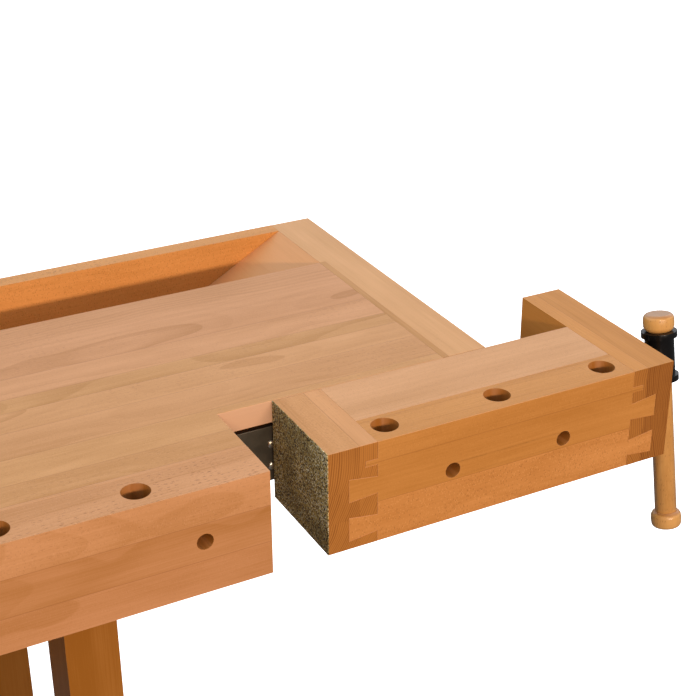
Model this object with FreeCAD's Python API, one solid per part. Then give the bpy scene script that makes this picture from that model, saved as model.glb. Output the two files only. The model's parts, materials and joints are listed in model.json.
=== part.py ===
import FreeCAD, Part
import math
import os

from FreeCAD import Vector

# Children's joiner's bench: a beech worktop with a tool tray, on two trestles, with a
# traditional tail vise at its right end and a front vise at its left.
#
# Units are millimetres. While a piece is being made, X is 0 at the wall that ends the apron
# on the right, Y is 0 at the front face and Z is 0 on the floor. X runs along the bench, to
# the right, Y to the back and Z up. in_frame() then moves every piece so that the origin is
# on the floor, at the middle of the whole bench.

X, Y, Z = Vector(1, 0, 0), Vector(0, 1, 0), Vector(0, 0, 1)

# Driving sizes of the top
TOP = 640.0                 # height of the working surface
LENGTH = 1160.0             # over both end caps
DEPTH = 494.4               # front face to back face
RIM = 102.5                 # height of the apron, the caps, the back rail and both vise jaws
PANEL = 22.5                # thickness of the worktop panel
APRON = 46.0                # thickness of the apron
CAP = 47.7                  # width of an end cap
SPLINE = 6.6                # width of the darker strip along an end cap
CAP_RIGHT = 282.4           # outer face of the right end cap
BACK_RAIL = 20.4            # thickness of the back rail

CAP_LEFT = CAP_RIGHT - LENGTH
INNER_RIGHT = CAP_RIGHT - CAP
INNER_LEFT = CAP_LEFT + CAP
RIM_FOOT = TOP - RIM
UNDER_PANEL = TOP - PANEL
BACK_INNER = DEPTH - BACK_RAIL

# Tool tray
TRAY_FRONT = 370.0          # the panel's back edge
TRAY_DEEP = 55.0
TRAY_FLOOR = 8.0
TRAY_RAIL = 20.0            # thickness of the rail below the panel's back edge
TRAY_REBATE = 6.0           # how far the floor sits in the rails
TRAY_SCREWS_X = [60.0 + i * 236.0 for i in range(5)]     # from the left cap
TRAY_SCREW = (1.5, 20.0, 2.8, 2.0)      # radius, length, head's radius and depth
RAMP_ANGLE = math.radians(29)

# Dog holes and the side holes in the front faces
DOG_RADIUS = 12.5
DOG_ROW = 23.0              # distance of the row from the front face
DOG_PITCH = 117.5
APRON_DOGS = [-110.0 - i * DOG_PITCH for i in range(5)]
VISE_DOGS = [122.0 + i * 117.2 for i in range(3)]
SIDE_RADIUS = 7.5
SIDE_DROP = 51.0            # below the working surface
APRON_SIDES = [-61.0 - i * 241.0 for i in range(3)]
VISE_SIDES = [180.0, 300.5]

# Base
LEG_X = 48.0
LEG_Y = 58.0
LEG_LEFT_SIDES = {"right": -175.0, "left": -648.0}
LEG_FRONTS = {"front": 51.0, "back": 404.0}
TENON = Vector(16.0, 38.0, 28.0)
FOOT_PAD = 6.0
FOOT_HIGH = 58.0
FOOT_FRONT, FOOT_BACK = 18.0, 486.0
FOOT_SLOPE = 22.0           # the slope on the two upper corners of a foot
STRETCHER_THICK = 28.0
STRETCHER_HIGH = 80.0
STRETCHER_FOOT = 175.0
PAD_LONG = 56.0
PAD_END = 4.0               # from the foot's end to its pad
PAD_INSET = 2.0
BEARER_SCREWS_Y = (150.0, 310.0)
COACH_SCREW = (3.0, 7.0, 4.0)           # radius, head's radius and depth
BOLT_RADIUS = 4.0
BOLT_HEAD = (7.5, 5.5)      # radius over the corners, height
BOLT_DEEP = 52.0            # how far a bolt goes into its stretcher
BARREL_RADIUS = 7.0
BARREL_END = 14.0           # from the bolt's tip to the middle of its barrel nut

# Tail vise. Its height is that of the apron, and it is drawn open by TAIL_OPEN.
TAIL_OPEN = 53.2
NOTCH_BACK = 110.0
NOTCH_BLOCK = 70.0          # length of the block behind the apron's end
PLAY = 0.4                  # between faces that slide past each other
LINING = 1.0
JAW_RIGHT = 102.5
ARM_LEFT, ARM_RIGHT, ARM_BACK = 378.4, 424.0, 188.8
VISE_BACK = NOTCH_BACK - PLAY
VISE_RAIL = 41.0            # thickness of the vise's front rail
COVER = 23.0
COVER_GROOVE = (55.3, 81.8, 5.5)     # front, back and depth of the groove over the screw
TAIL_LENGTH = 28.2          # length of a dovetail
TAILS = [(34.7, 51.8, 30.6, 54.2), (74.1, 91.1, 70.0, 94.3)]   # root top, foot, end top, foot
FINGER = (16.8, 22.7, 12.0)          # top, foot and length of the small finger

# Steel guides of the tail vise
PLATE_FRONT, PLATE_THICK = 112.0, 5.0
PLATE_TOP, PLATE_FOOT = TOP - 27.5, TOP - 85.0
PLATE_LEFT, PLATE_RIGHT = -20.0, 232.0
PLATE_SCREWS = [(52.8, 46.3), (52.8, 69.3), (135.0, 46.3), (135.0, 69.3)]   # x, drop
PLATE_SCREW = (4.0, 1.8, 28.0)          # head's radius and height, length
GUIDE_BEAM = 40.0
RUNNER_LEFT, RUNNER_RIGHT = 104.0, 376.0
RUNNER_FRONT, RUNNER_BACK = 87.5, 122.0
RUNNER_THICK = 4.0
RUNNER_LIP = 9.0
RUNNER_GAP = 0.5
RUNNER_BOLTS = [120.0, 360.0]
RUNNER_BOLT = 3.0
RUNNER_BOLT_HEAD = (5.5, 4.0)
SLOT_ABOVE, SLOT_BELOW = 38.0, 75.0     # drops of the slots' inner edges
SLOT_PLAY = 2.0

# Screws. The two vises use the same spindle, hub and handle.
SPINDLE = 8.0
SPINDLE_BORE = 8.35
TAIL_SCREW_Y = 68.8
TAIL_SCREW_Z = TOP - 34.0
TAIL_HUB_X = 466.0
TAIL_SPINDLE_END = 150.0
THRUST_THICK = 5.0
THRUST_HALF = 25.0
THRUST_SCREW_IN = 6.0       # from the plate's edges to its screws
THRUST_SCREW = (4.0, 2.4, 26.0)         # head's radius and height, length
NUT_LEFT, NUT_RIGHT = 206.0, 232.0
NUT_HALF = 12.0             # half the nut's width, front to back
NUT_ABOVE, NUT_BELOW = 14.5, 18.0       # from the screw's axis
NUT_NECK_DROP = 31.0
NUT_FLANGE_LEFT = 182.0
NUT_FLANGE_THICK = 6.0
NUT_FLANGE_DROP = 76.0
NUT_BOLTS = [(190.0, 40.0), (190.0, 66.0), (222.0, 66.0)]   # x, drop
NUT_BOLT = (2.5, 22.0)      # radius, length
NUT_BOLT_HEAD = (4.6, 3.5)
RING_RADIUS = 12.0
RING_THICK = 5.0
RING_PLAY = 0.5
HUB_TUBE = 14.8
HUB_FLANGE = 18.1
HUB_FLANGE_THICK = 6.0
HUB_HALF = 25.6             # half the length of the hub's cross tube
HUB_NECK = 13.0
HUB_SEAT = 1.0              # the spindle ends this far inside the tube's wall
HANDLE_TILT = math.radians(11.7)
HANDLE = 11.2               # radius of the handle bar
HANDLE_BORE = 11.5
KNOB = 15.7
KNOB_HALF = 8.9             # half the height of a knob
KNOB_REST = 0.05            # between the upper knob and the hub
KNOB_APART = 212.6          # between the middles of the two knobs

# Front vise, drawn open by FRONT_OPEN
FRONT_OPEN = 30.0
FRONT_JAW = 45.0
FRONT_JAW_LONG = 270.0
FRONT_X = CAP_LEFT + FRONT_JAW_LONG / 2
FRONT_SCREW_Z = TOP - 51.0
ROD = 10.0
ROD_BORE = 10.35
ROD_APART = 136.0
ROD_Z = TOP - 60.0
ROD_END = 200.0
ROD_IN_JAW = 30.0
FRONT_SPINDLE_END = 215.0
FRONT_PLATE_HALF = 84.0
FRONT_PLATE_THICK = 8.0
FRONT_PLATE_DROPS = (30.0, 88.0)
FRONT_BUSH = (5.0, 14.0)    # wall and length of a guide rod's bush
FRONT_NUT = (8.0, 26.0)     # wall and length of the nut
FRONT_PLATE_SCREWS = [(x, drop) for x in (-48.0, 48.0) for drop in (40.0, 78.0)]
FRONT_PLATE_SCREW = (4.0, 2.4, 34.0)
FRONT_HUB_Y = -FRONT_OPEN - FRONT_JAW - (TAIL_HUB_X - ARM_RIGHT)

# The box round the whole bench, which sets the origin
BOX_X = (CAP_LEFT, TAIL_HUB_X + HUB_FLANGE)
BOX_Y = (FRONT_HUB_Y - HUB_FLANGE, DEPTH)
ORIGIN = Vector(sum(BOX_X) / 2, sum(BOX_Y) / 2, 0)


def block(x0, x1, y0, y1, z0, z1):
    return Part.makeBox(x1 - x0, y1 - y0, z1 - z0, Vector(x0, y0, z0))


def rod(start, axis, radius, length):
    return Part.makeCylinder(radius, length, start, axis)


def joined(shapes):
    """Touching or overlapping shapes as one solid."""
    return shapes[0].fuse(shapes[1:]).removeSplitter()


def group(shapes):
    """Identical pieces as separate solids of one node."""
    return Part.makeCompound(shapes)


def prism(points, direction):
    """A polygon, given by its corners in order, drawn out along a vector."""
    wire = Part.makePolygon(points + points[:1])
    return Part.Face(wire).extrude(direction)


def turned(profile, foot, axis):
    """A solid of revolution. profile lists (radius, height) from the foot up; round stretches
    are given as (radius, height, bulge), an arc from the point before through that bulge."""
    edges = []
    here = Vector(profile[0][0], 0, profile[0][1])
    start = here
    for point in profile[1:]:
        there = Vector(point[0], 0, point[1])
        if len(point) == 3:
            through = Vector(point[2][0], 0, point[2][1])
            edges.append(Part.Arc(here, through, there).toShape())
        else:
            edges.append(Part.LineSegment(here, there).toShape())
        here = there
    edges.append(Part.LineSegment(here, start).toShape())
    solid = Part.Face(Part.Wire(edges)).revolve(Vector(), Z, 360)
    solid.Placement = FreeCAD.Placement(foot, FreeCAD.Rotation(Z, axis))
    return solid


def round_screw(face, out, head, high, length):
    """A round-headed screw. face is under its head, out points away from the wood."""
    shank = head * 0.55
    crown = head * 0.2
    shoulder = (head * 0.75, high * 0.68)
    profile = [(0, -length), (shank, -length), (shank, 0), (head, 0),
               (crown, high, shoulder), (0, high)]
    return turned(profile, face, out)


# ---- the top ----

def worktop_panel():
    outline = [(INNER_LEFT, APRON), (0, APRON), (0, NOTCH_BACK), (INNER_RIGHT, NOTCH_BACK),
               (INNER_RIGHT, TRAY_FRONT), (INNER_LEFT, TRAY_FRONT)]
    return prism([Vector(x, y, UNDER_PANEL) for x, y in outline], Z * PANEL)


def front_apron():
    board = block(CAP_LEFT, 0, 0, APRON, RIM_FOOT, TOP)
    holes = dog_holes(APRON_DOGS) + side_holes(APRON_SIDES, APRON)
    start = Vector(FRONT_X, 0, FRONT_SCREW_Z)
    holes.append(rod(start, Y, SPINDLE_BORE, APRON))
    holes += [rod(Vector(x, 0, ROD_Z), Y, ROD_BORE, APRON) for x in rod_places()]
    return board.cut(holes)


def dog_holes(places):
    return [rod(Vector(x, DOG_ROW, RIM_FOOT), Z, DOG_RADIUS, RIM) for x in places]


def side_holes(places, deep):
    return [rod(Vector(x, 0, TOP - SIDE_DROP), Y, SIDE_RADIUS, deep) for x in places]


def notch_block():
    """The block behind the apron's end, which the tail vise closes against."""
    return block(-NOTCH_BLOCK, 0, APRON, PLATE_FRONT - PLAY, RIM_FOOT, UNDER_PANEL)


def end_cap(inner, outer, front, slots):
    """An end cap from its inner to its outer face, without its darker strip."""
    low, high = sorted((inner, outer))
    cap = block(low, high, front, DEPTH, RIM_FOOT, TOP)
    return cap.cut([spline_strip(inner, outer, front)] + slots)


def spline_strip(inner, outer, front):
    edge = inner + math.copysign(SPLINE, outer - inner)
    low, high = sorted((inner, edge))
    return block(low, high, front, TRAY_FRONT, UNDER_PANEL, TOP)


def runner_slots(left, right):
    """Room for the lips of the two runners, behind the guide plate."""
    back = RUNNER_BACK + SLOT_PLAY
    above = block(left, right, NOTCH_BACK, back, TOP - SLOT_ABOVE, UNDER_PANEL)
    below = block(left, right, NOTCH_BACK, back, RIM_FOOT, TOP - SLOT_BELOW)
    return [above, below]


def tray_floor():
    top = TOP - TRAY_DEEP
    front, back = TRAY_FRONT - TRAY_REBATE, BACK_INNER + TRAY_REBATE
    return block(INNER_LEFT, INNER_RIGHT, front, back, top - TRAY_FLOOR, top)


def back_rail():
    rail = block(INNER_LEFT, INNER_RIGHT, BACK_INNER, DEPTH, RIM_FOOT, TOP)
    return rail.cut(tray_floor())


def tray_front_rail():
    foot = TOP - TRAY_DEEP - TRAY_FLOOR
    front = TRAY_FRONT - TRAY_RAIL
    rail = block(INNER_LEFT, INNER_RIGHT, front, TRAY_FRONT, foot, UNDER_PANEL)
    return rail.cut(tray_floor())


def tray_ramp(wall, way):
    """A wedge at a tray end. wall is the cap's inner face and way points into the tray."""
    foot = TOP - TRAY_DEEP
    run = way * TRAY_DEEP / math.tan(RAMP_ANGLE)
    corners = [(wall, foot), (wall, TOP), (wall + run, foot)]
    return prism([Vector(x, TRAY_FRONT, z) for x, z in corners],
                 Y * (BACK_INNER - TRAY_FRONT))


def tray_screws():
    """Countersunk screws that hold the tray floor in its two rebates."""
    foot = TOP - TRAY_DEEP - TRAY_FLOOR
    rows = [TRAY_FRONT - TRAY_REBATE / 2, BACK_INNER + TRAY_REBATE / 2]
    radius, length, head, deep = TRAY_SCREW
    screws = []
    for x in TRAY_SCREWS_X:
        for y in rows:
            start = Vector(INNER_LEFT + x, y, foot)
            shank = rod(start, Z, radius, length)
            screws.append(shank.fuse(Part.makeCone(head, radius, deep, start, Z)))
    return screws


# ---- guides of the tail vise, on the bench ----

def guide_beam():
    left = LEG_LEFT_SIDES["right"] + LEG_X
    back = PLATE_FRONT + PLATE_THICK
    beam = block(left, INNER_RIGHT, back, back + GUIDE_BEAM, PLATE_FOOT, UNDER_PANEL)
    return beam.cut(runner_slots(left, INNER_RIGHT))


def guide_plate():
    back = PLATE_FRONT + PLATE_THICK
    return block(PLATE_LEFT, PLATE_RIGHT, PLATE_FRONT, back, PLATE_FOOT, PLATE_TOP)


def plate_screws():
    """Round-headed screws through the guide plate into the beam."""
    return [round_screw(Vector(x, PLATE_FRONT, TOP - drop), -Y, *PLATE_SCREW)
            for x, drop in PLATE_SCREWS]


def tail_nut():
    """The nut of the tail screw, with a flange that is bolted to the guide plate."""
    front, back = TAIL_SCREW_Y - NUT_HALF, TAIL_SCREW_Y + NUT_HALF
    low, high = TAIL_SCREW_Z - NUT_BELOW, TAIL_SCREW_Z + NUT_ABOVE
    neck_top = TOP - NUT_NECK_DROP
    head = block(NUT_LEFT, NUT_RIGHT, front, back, low, high)
    neck = block(NUT_LEFT, NUT_RIGHT, back, PLATE_FRONT, low, neck_top)
    flange = block(NUT_FLANGE_LEFT, NUT_RIGHT, PLATE_FRONT - NUT_FLANGE_THICK, PLATE_FRONT,
                   TOP - NUT_FLANGE_DROP, neck_top)
    bore = rod(Vector(NUT_LEFT, TAIL_SCREW_Y, TAIL_SCREW_Z), X, SPINDLE_BORE, NUT_RIGHT - NUT_LEFT)
    return joined([head, neck, flange]).cut(bore)


def nut_bolts():
    """Bolts that hold the nut's flange on the guide plate."""
    bolts = []
    for x, drop in NUT_BOLTS:
        face = Vector(x, PLATE_FRONT - NUT_FLANGE_THICK, TOP - drop)
        bolts.append(rod(face, Y, *NUT_BOLT).fuse(hexagon(face, -Y, *NUT_BOLT_HEAD)))
    return bolts


def hexagon(middle, axis, radius, high):
    corners = [Vector(radius * math.cos(a), radius * math.sin(a), 0)
               for a in [math.radians(60 * i) for i in range(6)]]
    head = prism(corners, Z * high)
    head.Placement = FreeCAD.Placement(middle, FreeCAD.Rotation(Z, axis))
    return head


# ---- the base ----

def tenons(left, front, low, high):
    """The two tenons of a leg whose shoulders are at low and high."""
    x0 = left + (LEG_X - TENON.x) / 2
    y0 = front + (LEG_Y - TENON.y) / 2
    size = (x0, x0 + TENON.x, y0, y0 + TENON.y)
    return [block(*size, low - TENON.z, low), block(*size, high, high + TENON.z)]


def leg_tenons(side):
    low = FOOT_PAD + FOOT_HIGH
    left = LEG_LEFT_SIDES[side]
    return [t for front in LEG_FRONTS.values() for t in tenons(left, front, low, RIM_FOOT)]


def leg(side, place):
    left, front = LEG_LEFT_SIDES[side], LEG_FRONTS[place]
    low = FOOT_PAD + FOOT_HIGH
    post = block(left, left + LEG_X, front, front + LEG_Y, low, RIM_FOOT)
    whole = joined([post] + tenons(left, front, low, RIM_FOOT))
    return whole.cut(bolt_holes(side, place))


def foot(side):
    """A sled foot with sloped upper corners."""
    left = LEG_LEFT_SIDES[side]
    low, high = FOOT_PAD, FOOT_PAD + FOOT_HIGH
    side_view = [(FOOT_FRONT, low), (FOOT_BACK, low), (FOOT_BACK, high - FOOT_SLOPE),
                 (FOOT_BACK - FOOT_SLOPE, high), (FOOT_FRONT + FOOT_SLOPE, high),
                 (FOOT_FRONT, high - FOOT_SLOPE)]
    whole = prism([Vector(left, y, z) for y, z in side_view], X * LEG_X)
    return whole.cut(leg_tenons(side))


def foot_pads():
    """A rubber pad under each end of each foot."""
    pads = []
    for left in LEG_LEFT_SIDES.values():
        for front in (FOOT_FRONT + PAD_END, FOOT_BACK - PAD_END - PAD_LONG):
            pads.append(block(left + PAD_INSET, left + LEG_X - PAD_INSET,
                              front, front + PAD_LONG, 0, FOOT_PAD))
    return pads


def bearer(side):
    """The bearer on two legs. It is lower at the back, where the tray is."""
    left = LEG_LEFT_SIDES[side]
    under_tray = TOP - TRAY_DEEP - TRAY_FLOOR
    step = TRAY_FRONT - TRAY_RAIL
    side_view = [(APRON, RIM_FOOT), (BACK_INNER, RIM_FOOT), (BACK_INNER, under_tray),
                 (step, under_tray), (step, UNDER_PANEL), (APRON, UNDER_PANEL)]
    whole = prism([Vector(left, y, z) for y, z in side_view], X * LEG_X)
    return whole.cut(leg_tenons(side) + bearer_screws(side))


def bearer_screws(side):
    """Coach screws up through a bearer into the worktop panel's underside."""
    middle = LEG_LEFT_SIDES[side] + LEG_X / 2
    radius, head, deep = COACH_SCREW
    screws = []
    for y in BEARER_SCREWS_Y:
        start = Vector(middle, y, RIM_FOOT)
        screws.append(rod(start, Z, radius, RIM - PANEL).fuse(rod(start, Z, head, deep)))
    return screws


def stretcher_ends(place):
    """X of the two ends of a stretcher, and the Y and Z of its middle."""
    left = LEG_LEFT_SIDES["left"] + LEG_X
    right = LEG_LEFT_SIDES["right"]
    middle = LEG_FRONTS[place] + LEG_Y / 2
    return left, right, middle, STRETCHER_FOOT + STRETCHER_HIGH / 2


def stretcher(place):
    left, right, y, z = stretcher_ends(place)
    half = STRETCHER_THICK / 2
    board = block(left, right, y - half, y + half, z - STRETCHER_HIGH / 2, z + STRETCHER_HIGH / 2)
    holes = bolt_holes("left", place) + bolt_holes("right", place)
    holes += [barrel_bore(side, place) for side in LEG_LEFT_SIDES]
    return board.cut(holes)


def bolt_start(side, place):
    """Where a stretcher bolt enters its leg, and the direction that it goes in."""
    _, _, y, z = stretcher_ends(place)
    if side == "left":
        return Vector(LEG_LEFT_SIDES["left"], y, z), X
    return Vector(LEG_LEFT_SIDES["right"] + LEG_X, y, z), -X


def bolt_holes(side, place):
    start, axis = bolt_start(side, place)
    return [rod(start, axis, BOLT_RADIUS, LEG_X + BOLT_DEEP)]


def barrel_bore(side, place):
    start, axis = bolt_start(side, place)
    middle = start + axis * (LEG_X + BOLT_DEEP - BARREL_END)
    return rod(middle - Y * (STRETCHER_THICK / 2), Y, BARREL_RADIUS, STRETCHER_THICK)


def stretcher_bolts():
    bolts = []
    for side in LEG_LEFT_SIDES:
        for place in LEG_FRONTS:
            start, axis = bolt_start(side, place)
            shank = bolt_holes(side, place)[0]
            bolts.append(shank.fuse(hexagon(start, -axis, *BOLT_HEAD)))
    return bolts


def barrel_nuts():
    nuts = []
    for side in LEG_LEFT_SIDES:
        for place in LEG_FRONTS:
            nuts.append(barrel_bore(side, place).cut(bolt_holes(side, place)))
    return nuts


# ---- the tail vise ----

def dovetails(root, way):
    """The front rail's tails and small finger at one end. way is -1 for its left end."""
    pieces = []
    for root_top, root_foot, end_top, end_foot in TAILS:
        end = root + way * TAIL_LENGTH
        corners = [(root, root_top), (end, end_top), (end, end_foot), (root, root_foot)]
        pieces.append(prism([Vector(x, 0, TOP - drop) for x, drop in corners], Y * VISE_RAIL))
    top, foot, length = FINGER
    low, high = sorted((root, root + way * length))
    pieces.append(block(low, high, 0, VISE_RAIL, TOP - foot, TOP - top))
    return pieces


def tail_front_rail():
    rail = block(JAW_RIGHT, ARM_LEFT, 0, VISE_RAIL, RIM_FOOT, TOP)
    whole = joined([rail] + dovetails(JAW_RIGHT, -1) + dovetails(ARM_LEFT, 1))
    return whole.cut(dog_holes(VISE_DOGS) + side_holes(VISE_SIDES, VISE_RAIL))


def tail_jaw():
    jaw = block(TAIL_OPEN + LINING, JAW_RIGHT, 0, VISE_BACK, RIM_FOOT, TOP)
    return jaw.cut(dovetails(JAW_RIGHT, -1))


def tail_jaw_lining():
    return block(TAIL_OPEN, TAIL_OPEN + LINING, 0, VISE_BACK, RIM_FOOT, TOP)


def tail_arm():
    arm = block(ARM_LEFT, ARM_RIGHT, 0, ARM_BACK, RIM_FOOT, TOP)
    start = Vector(ARM_LEFT, TAIL_SCREW_Y, TAIL_SCREW_Z)
    bore = rod(start, X, SPINDLE_BORE, ARM_RIGHT - ARM_LEFT)
    return arm.cut(dovetails(ARM_LEFT, 1) + [bore])


def tail_cover():
    """The board over the vise's hollow, with a groove above the screw and its nut."""
    board = block(JAW_RIGHT, ARM_LEFT, VISE_RAIL, VISE_BACK, TOP - COVER, TOP)
    front, back, deep = COVER_GROOVE
    groove = block(JAW_RIGHT, ARM_LEFT, front, back, TOP - COVER, TOP - COVER + deep)
    return board.cut(groove)


def tail_runner(edge, way):
    """A steel runner that hooks over an edge of the guide plate. way is 1 above the plate
    and -1 below it, and edge is the plate's edge."""
    inner = edge + way * RUNNER_GAP
    outer = inner + way * RUNNER_THICK
    low, high = sorted((inner, outer))
    web = block(RUNNER_LEFT, RUNNER_RIGHT, RUNNER_FRONT, RUNNER_BACK, low, high)
    lip_low, lip_high = sorted((inner, inner - way * RUNNER_LIP))
    front = RUNNER_BACK - RUNNER_THICK
    lip = block(RUNNER_LEFT, RUNNER_RIGHT, front, RUNNER_BACK, lip_low, lip_high)
    return joined([web, lip]).cut(runner_bolts())


def runner_bolts():
    """Bolts that hang the lower runner from the cover and the upper runner."""
    bolts = []
    y = (RUNNER_FRONT + VISE_BACK) / 2
    low = PLATE_FOOT - RUNNER_GAP - RUNNER_THICK
    for x in RUNNER_BOLTS:
        start = Vector(x, y, low)
        shank = rod(start, Z, RUNNER_BOLT, TOP - COVER - low)
        bolts.append(shank.fuse(hexagon(start, -Z, *RUNNER_BOLT_HEAD)))
    return bolts


# ---- the parts that both vises have ----

def thrust_plate(face, out, up):
    """A plate on a jaw's outer face. face is on the screw axis and out points away from it."""
    side = out.cross(up)
    corner = face - side * THRUST_HALF - up * THRUST_HALF
    plate = prism([corner, corner + side * 2 * THRUST_HALF,
                   corner + (side + up) * 2 * THRUST_HALF, corner + up * 2 * THRUST_HALF],
                  out * THRUST_THICK)
    return plate.cut(rod(face, out, SPINDLE_BORE, THRUST_THICK))


def thrust_screws(face, out, up):
    side = out.cross(up)
    reach = THRUST_HALF - THRUST_SCREW_IN
    screws = []
    for a in (-1, 1):
        for b in (-1, 1):
            start = face + side * (a * reach) + up * (b * reach) + out * THRUST_THICK
            screws.append(round_screw(start, out, *THRUST_SCREW))
    return screws


def spindle(hub, out, end_distance):
    """The screw, from the hub's cross tube inwards."""
    inset = HUB_TUBE - HUB_SEAT
    return rod(hub - out * inset, -out, SPINDLE, end_distance - inset)


def hub_casting(hub, out, handle, face_distance):
    """A cross tube for the handle, with two flanges and a neck towards the jaw."""
    tube = rod(hub - handle * HUB_HALF, handle, HUB_TUBE, 2 * HUB_HALF)
    flanges = [rod(hub - handle * HUB_HALF, handle, HUB_FLANGE, HUB_FLANGE_THICK),
               rod(hub + handle * (HUB_HALF - HUB_FLANGE_THICK), handle, HUB_FLANGE,
                   HUB_FLANGE_THICK)]
    reach = face_distance - THRUST_THICK - PLAY
    neck = rod(hub - out * reach, out, HUB_NECK, reach)
    bore = rod(hub - handle * HUB_HALF, handle, HANDLE_BORE, 2 * HUB_HALF)
    seat = rod(hub - out * reach, out, SPINDLE, reach - HUB_TUBE + HUB_SEAT)
    return joined([tube] + flanges + [neck]).cut([bore, seat])


def knob_middles(hub, handle):
    """The middles of the two knobs, with the upper one resting on the hub's flange."""
    upper = hub + handle * (HUB_HALF + KNOB_REST + KNOB_HALF)
    return upper, upper - handle * KNOB_APART


def handle_bar(hub, handle):
    upper, lower = knob_middles(hub, handle)
    return rod(lower, handle, HANDLE, (upper - lower).Length)


def knob(middle, out, bar):
    """A squat round knob with flat ends, glued over the end of the bar."""
    profile = [(0, -KNOB_HALF), (KNOB - 3.9, -KNOB_HALF),
               (KNOB - 0.1, -2.4, (KNOB - 1.1, -6.3)),
               (KNOB - 0.3, 4.2, (KNOB, 0.9)),
               (KNOB - 4.3, KNOB_HALF, (KNOB - 1.5, 7.3)),
               (0, KNOB_HALF)]
    return turned(profile, middle, out).cut(bar)


def handle_pieces(prefix, hub, handle):
    """The bar and its two knobs, by name."""
    upper, lower = knob_middles(hub, handle)
    bar = handle_bar(hub, handle)
    return {prefix + "_handle_bar": bar,
            prefix + "_handle_knob_top": knob(upper, handle, bar),
            prefix + "_handle_knob_bottom": knob(lower, -handle, bar)}


# ---- the front vise ----

def rod_places():
    return [FRONT_X - ROD_APART / 2, FRONT_X + ROD_APART / 2]


def front_jaw():
    outer = -FRONT_OPEN - FRONT_JAW
    jaw = block(CAP_LEFT, CAP_LEFT + FRONT_JAW_LONG, outer, -FRONT_OPEN, RIM_FOOT, TOP)
    seats = [rod(Vector(x, -FRONT_OPEN - ROD_IN_JAW, ROD_Z), Y, ROD, ROD_IN_JAW)
             for x in rod_places()]
    bore = rod(Vector(FRONT_X, outer, FRONT_SCREW_Z), Y, SPINDLE_BORE, FRONT_JAW)
    return jaw.cut(seats + [bore])


def front_guide_rods():
    start = -FRONT_OPEN - ROD_IN_JAW
    return [rod(Vector(x, start, ROD_Z), Y, ROD, ROD_END - start) for x in rod_places()]


def front_nut_plate():
    """The casting behind the apron, with the nut and a bush for each guide rod."""
    back = APRON + FRONT_PLATE_THICK
    above, below = FRONT_PLATE_DROPS
    plate = block(FRONT_X - FRONT_PLATE_HALF, FRONT_X + FRONT_PLATE_HALF, APRON, back,
                  TOP - below, TOP - above)
    wall, length = FRONT_BUSH
    bushes = [rod(Vector(x, back, ROD_Z), Y, ROD + wall, length) for x in rod_places()]
    wall, length = FRONT_NUT
    nut = rod(Vector(FRONT_X, back, FRONT_SCREW_Z), Y, SPINDLE + wall, length)
    through = FRONT_PLATE_THICK + length
    bores = [rod(Vector(x, APRON, ROD_Z), Y, ROD_BORE, through) for x in rod_places()]
    bores.append(rod(Vector(FRONT_X, APRON, FRONT_SCREW_Z), Y, SPINDLE_BORE, through))
    return joined([plate, nut] + bushes).cut(bores)


def front_plate_screws():
    """Round-headed screws through the casting into the back of the apron."""
    back = APRON + FRONT_PLATE_THICK
    return [round_screw(Vector(FRONT_X + x, back, TOP - drop), Y, *FRONT_PLATE_SCREW)
            for x, drop in FRONT_PLATE_SCREWS]


def tail_axes():
    """The tail hub's middle and the direction of its handle."""
    hub = Vector(TAIL_HUB_X, TAIL_SCREW_Y, TAIL_SCREW_Z)
    return hub, Vector(0, math.sin(HANDLE_TILT), math.cos(HANDLE_TILT))


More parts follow.
